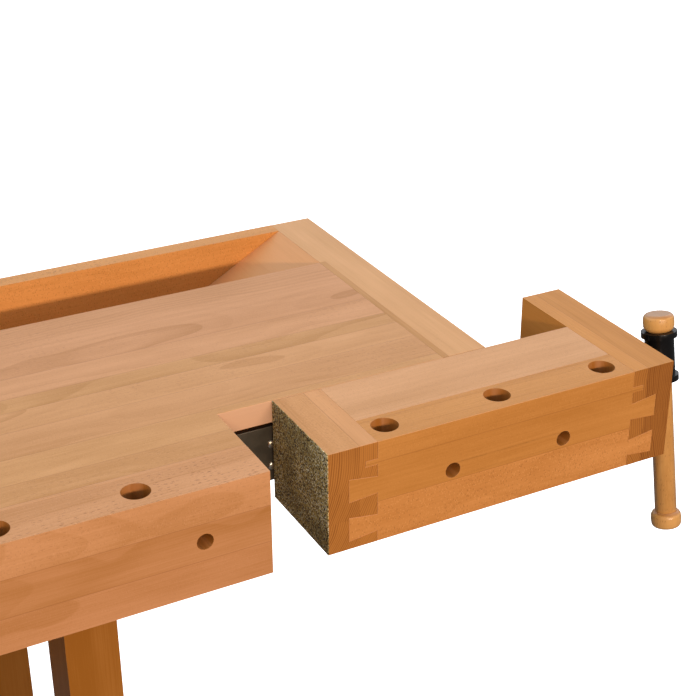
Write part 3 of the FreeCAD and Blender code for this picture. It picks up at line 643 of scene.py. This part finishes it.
def stand_for(node, placed, material, sharp=35):
    """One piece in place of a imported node, joined from meshes that each have a place."""
    bm = bmesh.new()
    for mesh, place in placed:
        before = len(bm.verts)
        bm.from_mesh(mesh)
        bm.verts.ensure_lookup_table()
        bmesh.ops.transform(bm, matrix=place, verts=bm.verts[before:])
    mesh = bpy.data.meshes.new(node + "_detailed")
    bm.to_mesh(mesh)
    bm.free()
    mesh.materials.clear()
    mesh.materials.append(material)
    mesh.shade_smooth()
    mesh.set_sharp_from_angle(angle=math.radians(sharp))
    piece = bpy.data.objects.new(node + "_detailed", mesh)
    bpy.context.scene.collection.objects.link(piece)
    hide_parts(node)
    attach(piece, frame["nodes"][node]["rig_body"])
    return piece


DOME_STEPS = 7


def dome(head, tall):
    """Profile points of a low dome, from its rim to its top."""
    turns = [math.pi / 2 * i / DOME_STEPS for i in range(DOME_STEPS)]
    return [(head * math.cos(t), tall * math.sin(t)) for t in turns] + [(0, tall)]


def cross_recess(bm, reach, wide, floor, top):
    """Adds the cutter of a cross recess, from its floor up to top."""
    centre = Vector((0, 0, (floor + top) / 2))
    for half in ((reach, wide / 2), (wide / 2, reach)):
        slab(bm, centre, (*half, (top - floor) / 2))


def round_screw(head, tall, length):
    """A round-headed screw with a cross recess, its head's seat at Z = 0."""
    shank = 0.55 * head
    profile = [(0, -length), (shank, -length + shank), (shank, 0), *dome(head, tall)]
    cutter = drawn(lambda bm: cross_recess(bm, 0.55 * head, 0.26 * head, 0.3 * tall, 2 * tall))
    return combined(drawn(lambda bm: lathe(bm, profile)), cutter, "DIFFERENCE")


def flat_screw(head, tall, length):
    """A countersunk screw with a cross recess, flush at Z = 0."""
    shank = 0.62 * head
    profile = [(0, -length), (shank, -length + shank), (shank, shank - head), (head, 0), (0, tall)]
    cutter = drawn(lambda bm: cross_recess(bm, 0.6 * head, 0.24 * head, -0.6 * head, head))
    return combined(drawn(lambda bm: lathe(bm, profile)), cutter, "DIFFERENCE")


def hexagon_bolt(corner, tall, length):
    """A bolt whose hexagon head has its corners turned off, its seat at Z = 0."""
    turned = [(0, 0), (1.01 * corner, 0), (1.01 * corner, 0.78 * tall), (0.84 * corner, tall),
              (0, tall)]
    prism = [(0, -MM), (corner, -MM), (corner, 2 * tall), (0, 2 * tall)]
    head = combined(drawn(lambda bm: lathe(bm, turned, 48)),
                    drawn(lambda bm: lathe(bm, prism, 6)), "INTERSECT")
    shank = 0.53 * corner
    profile = [(0, -length), (0.85 * shank, -length), (shank, -length + 0.15 * shank),
               (shank, 0.1 * MM), (0, 0.1 * MM)]

    def whole(bm):
        bm.from_mesh(head)
        lathe(bm, profile)
    return drawn(whole)


# node, its drawing, where its heads point (None: away from the bench's middle), head height
FASTENERS = [
    ("guide_plate_screws", round_screw, -Y, 1.8 * MM),
    ("front_nut_plate_screws", round_screw, Y, 2.4 * MM),
    ("tail_thrust_screws", round_screw, X, 2.4 * MM),
    ("front_thrust_screws", round_screw, -Y, 2.4 * MM),
    ("tray_screws", flat_screw, -Z, 0.0),
    ("bearer_screws", hexagon_bolt, -Z, 4.0 * MM),
    ("tail_runner_bolts", hexagon_bolt, -Z, 4.0 * MM),
    ("tail_nut_bolts", hexagon_bolt, -Y, 3.5 * MM),
    ("stretcher_bolts", hexagon_bolt, None, 5.5 * MM),
]


def make_fasteners(material):
    for node, draw, heads, head_height in FASTENERS:
        centre = middle("stretcher_front")
        mesh = None
        placed = []
        for corners in solids(node):
            at = (corners[0] + corners[1]) / 2
            out = heads or (X if at.x > centre.x else -X)
            axis = max(range(3), key=lambda i: abs(out[i]))
            size = corners[1] - corners[0]
            widest = max(size[i] for i in range(3) if i != axis)
            mesh = mesh or draw(widest / 2, head_height, size[axis] - head_height)
            at[axis] = corners[1 if out[axis] > 0 else 0][axis] - out[axis] * head_height
            placed.append((mesh, Matrix.Translation(at) @ towards(out)))
        stand_for(node, placed, material)


def barrel_nut(radius, long):
    """A round cross nut with chamfered ends, slotted at both."""
    rim = 0.8 * MM
    profile = [(0, -long / 2), (radius - rim, -long / 2), (radius, rim - long / 2),
               (radius, long / 2 - rim), (radius - rim, long / 2), (0, long / 2)]

    def slots(bm):
        for end in (-1, 1):
            slab(bm, Z * (end * long / 2), (0.7 * radius, 0.8 * MM, 1.6 * MM))
    return combined(drawn(lambda bm: lathe(bm, profile)), drawn(slots), "DIFFERENCE")


def make_barrel_nuts(material):
    placed = []
    for lowest, highest in solids("barrel_nuts"):
        size = highest - lowest
        turn = Matrix.Translation((lowest + highest) / 2) @ towards(Y)
        placed.append((barrel_nut(size.x / 2, size.y), turn))
    stand_for("barrel_nuts", placed, material)


THREAD_PITCH = 5.0 * MM
THREAD_DEEP = 2.1 * MM
THREAD_STEPS = 28           # in one turn
# a trapezoidal thread's section: the share of the pitch, and 0 at the root, 1 at the crest
THREAD = [(0.0, 0), (0.38, 0), (0.50, 1), (0.88, 1)]


def threaded(bm, radius, long):
    """A thread from Z = 0 to long, closed and chamfered at both ends."""
    rows = []
    count = (math.ceil(long / THREAD_PITCH) + 1) * THREAD_STEPS
    tip = radius - THREAD_DEEP - 0.4 * MM
    for k in range(count + 1):
        turn = 2 * math.pi * k / THREAD_STEPS
        row = []
        for share, lift in THREAD:
            z = THREAD_PITCH * (k / THREAD_STEPS + share - 1)
            z = min(max(z, 0.0), long)
            r = min(radius - THREAD_DEEP * (1 - lift), tip + z, tip + long - z)
            row.append(bm.verts.new((r * math.cos(turn), r * math.sin(turn), z)))
        rows.append(row)
    for k in range(count):
        here, after = rows[k], rows[k + 1]
        if k + THREAD_STEPS + 1 <= count:
            here = here + rows[k + THREAD_STEPS][:1]
            after = after + rows[k + THREAD_STEPS + 1][:1]
        for i in range(len(here) - 1):
            bm.faces.new((here[i], after[i], after[i + 1], here[i + 1]))
    bmesh.ops.remove_doubles(bm, verts=bm.verts, dist=0.001 * MM)
    bmesh.ops.holes_fill(bm, edges=bm.edges)


def make_spindle(node, tip, end, plain, material):
    """A vise screw from its tip to its end in the hub, with a plain journal at that end."""
    size = high(node) - low(node)
    radius = max(sorted(size)[:2]) / 2
    axis = (end - tip).normalized()
    long = (end - tip).length
    rim = 0.6 * MM
    journal = [(0, 0), (radius - rim, 0), (radius, rim), (radius, plain + MM), (0, plain + MM)]
    journal = [(r, long - plain - MM + z) for r, z in journal]
    place = Matrix.Translation(tip) @ towards(axis)
    thread = drawn(lambda bm: threaded(bm, radius, long - plain))
    stand_for(node, [(thread, place), (drawn(lambda bm: lathe(bm, journal)), place)], material)


PLAIN_BEYOND = 6 * MM       # how far a plain journal goes on past the ring or the jaw


def make_spindles(material):
    centre = middle("tail_spindle")
    tip = Vector((low("tail_spindle").x, centre.y, centre.z))
    end = Vector((high("tail_spindle").x, centre.y, centre.z))
    plain = end.x - low("tail_retaining_ring").x + PLAIN_BEYOND
    make_spindle("tail_spindle", tip, end, plain, material)
    centre = middle("front_spindle")
    tip = Vector((centre.x, high("front_spindle").y, centre.z))
    end = Vector((centre.x, low("front_spindle").y, centre.z))
    plain = high("front_jaw").y - end.y + PLAIN_BEYOND
    make_spindle("front_spindle", tip, end, plain, material)


LINING_GRAIN = 1.1 * MM     # between the points of the crumbly face
LINING_ROUGH = 0.22 * MM    # how deep its dents are


def make_lining(material):
    """The cork and rubber sheet on the jaw: a crumbly face, and edges that were cut by knife."""
    lowest, highest = low("tail_jaw_lining"), high("tail_jaw_lining")
    counts = [round((highest[i] - lowest[i]) / LINING_GRAIN) for i in (1, 2)]

    def face_point(i, k):
        y = lowest.y + (highest.y - lowest.y) * i / counts[0]
        z = lowest.z + (highest.z - lowest.z) * k / counts[1]
        crumb = noise.noise(Vector((y, z, 0.7)) * 900)
        crumb += 0.6 * noise.noise(Vector((y, z, 3.1)) * 320)
        dent = LINING_ROUGH * min(max(0.5 + 0.6 * crumb, 0.0), 1.0)
        edge = i in (0, counts[0]) or k in (0, counts[1])
        return Vector((lowest.x + (dent if not edge else 1.6 * LINING_ROUGH), y, z))

    def sheet(bm):
        grid = [[bm.verts.new(face_point(i, k)) for k in range(counts[1] + 1)]
                for i in range(counts[0] + 1)]
        for i in range(counts[0]):
            for k in range(counts[1]):
                bm.faces.new((grid[i][k], grid[i + 1][k], grid[i + 1][k + 1], grid[i][k + 1]))
        rim = ([row[0] for row in grid] + grid[-1][1:] + [row[-1] for row in grid[-2::-1]]
               + grid[0][-2:0:-1])
        back = [bm.verts.new((highest.x, v.co.y, v.co.z)) for v in rim]
        for i in range(len(rim)):
            n = (i + 1) % len(rim)
            bm.faces.new((rim[i], rim[n], back[n], back[i]))
        bm.faces.new(back)
    stand_for("tail_jaw_lining", [(drawn(sheet), Matrix.Identity(4))], material, sharp=60)


# ---- what each packed board and fitting looks like ----

def y_of(*millimetres):
    """Places behind the apron's front face, in the frame."""
    return [APRON_CORNER.y + m * MM for m in millimetres]


def z_of(*millimetres):
    """Places below the working surface, in the frame."""
    return [TOP - m * MM for m in millimetres]


def x_of(*millimetres):
    """Places to the right of the apron's right end, in the frame."""
    return [APRON_CORNER.x + m * MM for m in millimetres]


def dress_wood():
    """Each board: node, grain, pith in mm, and its look."""
    boards = [
        ("worktop_panel", "x", (6, -75),
         dict(tone=0.42, ticks=0.3, rays=0.12, rings=0.32, sawn=0.85, warm=0.1,
              staves=y_of(50, 80, 121, 165, 200, 225, 264),
              tones=(0.06, -0.32, 0.08, -0.12, 0.30, -0.04, 0.34, 0.06))),
        ("front_apron", "x", (80, 4),
         dict(tone=0.18, rings=0.26, ticks=(0.8, 0.15, 0.25), rays=(0.15, 0.05, 0.08), across="b",
              staves=z_of(33.3, 69.4), tones=(0.08, -0.36, -0.14), warm=0.1, bores="apron")),
        ("back_rail", "x", (70, 20), dict(tone=0.85, ticks=0.8, rays=0.35, warm=0.8)),
        ("tray_front_rail", "x", (40, 60), dict(tone=0.0)),
        ("notch_block", "x", (40, 60), dict(tone=0.3)),
        ("guide_beam", "x", (60, 50), dict(tone=0.0)),
        ("end_cap_right", "y", (-60, 60), dict(tone=1.25, ticks=0.15, rings=0.05, warm=0.1)),
        ("end_cap_left", "y", (60, 60), dict(tone=0.8, ticks=0.15)),
        ("tray_ramp_right", "y", (30, 90),
         dict(tone=1.8, ticks=0.05, rings=0.03, edges=0.0, warm=0.35)),
        ("tray_ramp_left", "y", (-30, 90),
         dict(tone=1.6, ticks=0.05, rings=0.03, edges=0.0, warm=0.35)),
        ("tail_jaw", "y", (-150, 40),
         dict(tone=0.42, ticks=0.2, rays=(0.25, 0.05), staves=x_of(85.0), tones=(0.0, 0.40),
              blocks=z_of(42, 72), block_tones=(0.0, -0.10, 0.12), warm=0.35, end_tone=0.06)),
        ("tail_arm", "y", (190, 30),
         dict(tone=0.40, ticks=0.2, staves=x_of(394.2), tones=(0.25, -0.32),
              blocks=z_of(52), block_tones=(0.0, 0.06), end_tone=-0.12, warm=1.0)),
        ("tail_front_rail", "x", (70, -8),
         dict(tone=0.12, rings=0.18, ticks=(0.3, 0.35, 0.2), rays=(0.15, 0.10, 0.42), across="b",
              staves=z_of(20.5, 61.0), tones=(0.10, -0.30, 0.18), warm=0.80, bores="vise")),
        ("tail_cover", "x", (10, -60), dict(tone=1.0, ticks=0.15, rays=0.15, warm=0.0)),
        ("front_jaw", "x", (65, 5), dict(tone=0.10, staves=z_of(52), across="b",
                                           tones=(0.0, 0.1), warm=0.8)),
        ("bearer_right", "y", (40, 80), dict(tone=-0.1)),
        ("bearer_left", "y", (-40, 70), dict(tone=-0.1)),
        ("foot_right", "y", (50, 70), dict(tone=0.0, warm=0.6)),
        ("foot_left", "y", (-60, 60), dict(tone=0.0, warm=0.6)),
        # the legs' light factors darken them, partly for their own darker wood and partly as
        # painted shade under the worktop; the back right leg's lowest factor is painted shadow
        ("leg_front_right", "z", (50, 90), dict(tone=-1.25, ticks=0.3, warm=0.9, light=0.84)),
        ("leg_back_right", "z", (-40, 80), dict(tone=-1.3, ticks=0.3, warm=0.9, light=0.66)),
        ("leg_front_left", "z", (60, -70), dict(tone=-1.2, ticks=0.3, warm=0.9, light=0.88)),
        ("leg_back_left", "z", (-70, 60), dict(tone=-1.0, ticks=0.3, warm=0.9, light=0.8)),
        ("stretcher_front", "x", (30, 110), dict(tone=-0.1, warm=0.6)),
        ("stretcher_back", "x", (30, -110), dict(tone=-0.15, warm=0.6)),
    ]
    for seed, (node, grain, pith, look) in enumerate(boards):
        _, a, b = GRAIN_ORDER[grain]
        centre = (middle(node)[a], middle(node)[b])
        ease = 0.45 * MM if node.startswith("tail_") else 0.6 * MM
        dress(node, beech("beech_" + node, grain, seed + 1, centre, pith, **look), ease)
    strip = beech("beech_strip", "y", 61, (0.0, TOP), (80, 60), tone=-0.15, ticks=0.1)
    dress("end_cap_strip_right", strip)
    dress("end_cap_strip_left", strip)
    dress("tray_floor", plywood("plywood"))


def dress_metal():
    black = cast_iron("black_casting")
    browned = steel("browned_steel", (0.245, 0.222, 0.172), 0.48, scratches=0.4)
    bright = steel("turned_steel", (0.56, 0.55, 0.53), 0.28, scratches=0.6)
    for node in ("tail_nut", "front_nut_plate", "tail_thrust_plate", "front_thrust_plate",
                 "tail_hub", "front_hub"):
        dress(node, black, ease=0.7 * MM, segments=3)
    for node in ("guide_plate", "tail_runner_upper", "tail_runner_lower"):
        dress(node, browned, ease=0.4 * MM)
    for node in ("front_guide_rods", "tail_retaining_ring"):
        dress(node, bright, ease=0.4 * MM)
    yellow = zinc("zinc")
    make_spindles(bright)
    make_fasteners(yellow)
    make_barrel_nuts(yellow)


def dress_rest():
    make_lining(cork_rubber("cork_rubber"))
    dress("foot_pads", rubber("foot_rubber"), ease=1.0 * MM)
    for seed, vise in enumerate(("tail", "front")):
        dress(vise + "_handle_bar", turned_beech("handle_wood_" + vise, seed + 2), ease=0.8 * MM)
        pale = turned_beech("knob_wood_" + vise, seed + 5, dark=0.10)
        for piece in ("knob_top", "knob_bottom"):
            dress(vise + "_handle_" + piece, pale, ease=0.8 * MM)


# ---- floor, lights and camera ----

FLOOR_HALF = 14.0           # metres from its middle to its sides


def make_floor():
    mesh = bpy.data.meshes.new("floor")
    corners = [(-FLOOR_HALF, -FLOOR_HALF, 0), (FLOOR_HALF, -FLOOR_HALF, 0),
               (FLOOR_HALF, FLOOR_HALF, 0), (-FLOOR_HALF, FLOOR_HALF, 0)]
    mesh.from_pydata(corners, [], [(0, 1, 2, 3)])
    floor = bpy.data.objects.new("floor", mesh)
    bpy.context.scene.collection.objects.link(floor)
    mesh.materials.append(studio_floor("floor"))
    floor.visible_diffuse = False
    floor.visible_glossy = False


def area_light(name, place, target, size, power, color):
    data = bpy.data.lights.new(name, "AREA")
    data.shape = "RECTANGLE"
    data.size, data.size_y = size
    data.energy = power
    data.color = color
    light = bpy.data.objects.new(name, data)
    light.location = place
    light.rotation_euler = (Vector(target) - Vector(place)).to_track_quat("-Z", "Y").to_euler()
    bpy.context.scene.collection.objects.link(light)


SKY_FRONT, SKY_BACK, SKY_BELOW = 0.28, 0.94, 0.14   # strengths
SKY_RIGHT = (1.00, 1.46)    # what the sky is multiplied by at its left and right
SKY_COLOR = (0.99, 1.03, 1.10)
KEY_AZIMUTH = math.radians(2)       # from straight in front, to the left
KEY_HEIGHT = math.radians(17)
KEY_DISTANCE = 3.0
KEY_SIZE = (2.0, 0.14)
KEY_POWER = 74.0
KEY_COLOR = (1.0, 0.74, 0.58)


def make_light():
    """A sky that is bright above and behind and dim below, and a low light in front."""
    world = bpy.data.worlds.new("studio")
    world.use_nodes = True
    tree = world.node_tree
    background = tree.nodes["Background"]
    place = tree.nodes.new("ShaderNodeTexCoord")
    split = tree.nodes.new("ShaderNodeSeparateXYZ")
    tree.links.new(place.outputs["Generated"], split.inputs[0])

    def ramp(value, start, end, dim, bright):
        node = tree.nodes.new("ShaderNodeMapRange")
        node.interpolation_type = "SMOOTHSTEP"
        tree.links.new(value, node.inputs["Value"])
        for key, number in (("From Min", start), ("From Max", end),
                            ("To Min", dim), ("To Max", bright)):
            node.inputs[key].default_value = number
        return node.outputs[0]

    above = ramp(split.outputs[2], -0.08, 0.35, 0.0, 1.0)
    behind = ramp(split.outputs[1], -0.6, 0.7, SKY_FRONT, SKY_BACK)
    right = ramp(split.outputs[0], 0.05, 0.75, *SKY_RIGHT)
    side = tree.nodes.new("ShaderNodeMath")
    side.operation = "MULTIPLY"
    tree.links.new(behind, side.inputs[0])
    tree.links.new(right, side.inputs[1])
    both = tree.nodes.new("ShaderNodeMath")
    both.operation = "MULTIPLY_ADD"
    tree.links.new(above, both.inputs[0])
    tree.links.new(side.outputs[0], both.inputs[1])
    both.inputs[2].default_value = SKY_BELOW
    tree.links.new(both.outputs[0], background.inputs["Strength"])
    background.inputs["Color"].default_value = (*SKY_COLOR, 1.0)
    bpy.context.scene.world = world

    aim = Vector((0.2, -0.1, TOP))
    direction = Vector((-math.sin(KEY_AZIMUTH) * math.cos(KEY_HEIGHT),
                        -math.cos(KEY_AZIMUTH) * math.cos(KEY_HEIGHT), math.sin(KEY_HEIGHT)))
    area_light("key", aim + direction * KEY_DISTANCE, aim, KEY_SIZE, KEY_POWER, KEY_COLOR)


# from the apron's corner that is at its top, right and front
CAMERA_FROM_CORNER = Vector((-0.43749, -0.96653, 0.64483))
CAMERA_AZIMUTH = math.radians(-27.87)
CAMERA_DOWN = math.radians(27.52)
CAMERA_ROLL = math.radians(-0.18)
CAMERA_LENS = 76.88
CAMERA_SHIFT = 0.0339


def make_camera():
    data = bpy.data.cameras.new("camera")
    data.sensor_width = 36.0
    data.lens = CAMERA_LENS
    data.shift_y = CAMERA_SHIFT
    data.clip_end = 100.0
    camera = bpy.data.objects.new("camera", data)
    turn = (Matrix.Rotation(CAMERA_AZIMUTH, 4, "Z")
            @ Matrix.Rotation(math.radians(90) - CAMERA_DOWN, 4, "X")
            @ Matrix.Rotation(CAMERA_ROLL, 4, "Z"))
    camera.matrix_world = Matrix.Translation(APRON_CORNER + CAMERA_FROM_CORNER) @ turn
    bpy.context.scene.collection.objects.link(camera)
    bpy.context.scene.camera = camera
    bpy.context.scene.view_settings.view_transform = "Standard"


make_camera()
make_light()
make_floor()
dress_wood()
dress_metal()
dress_rest()
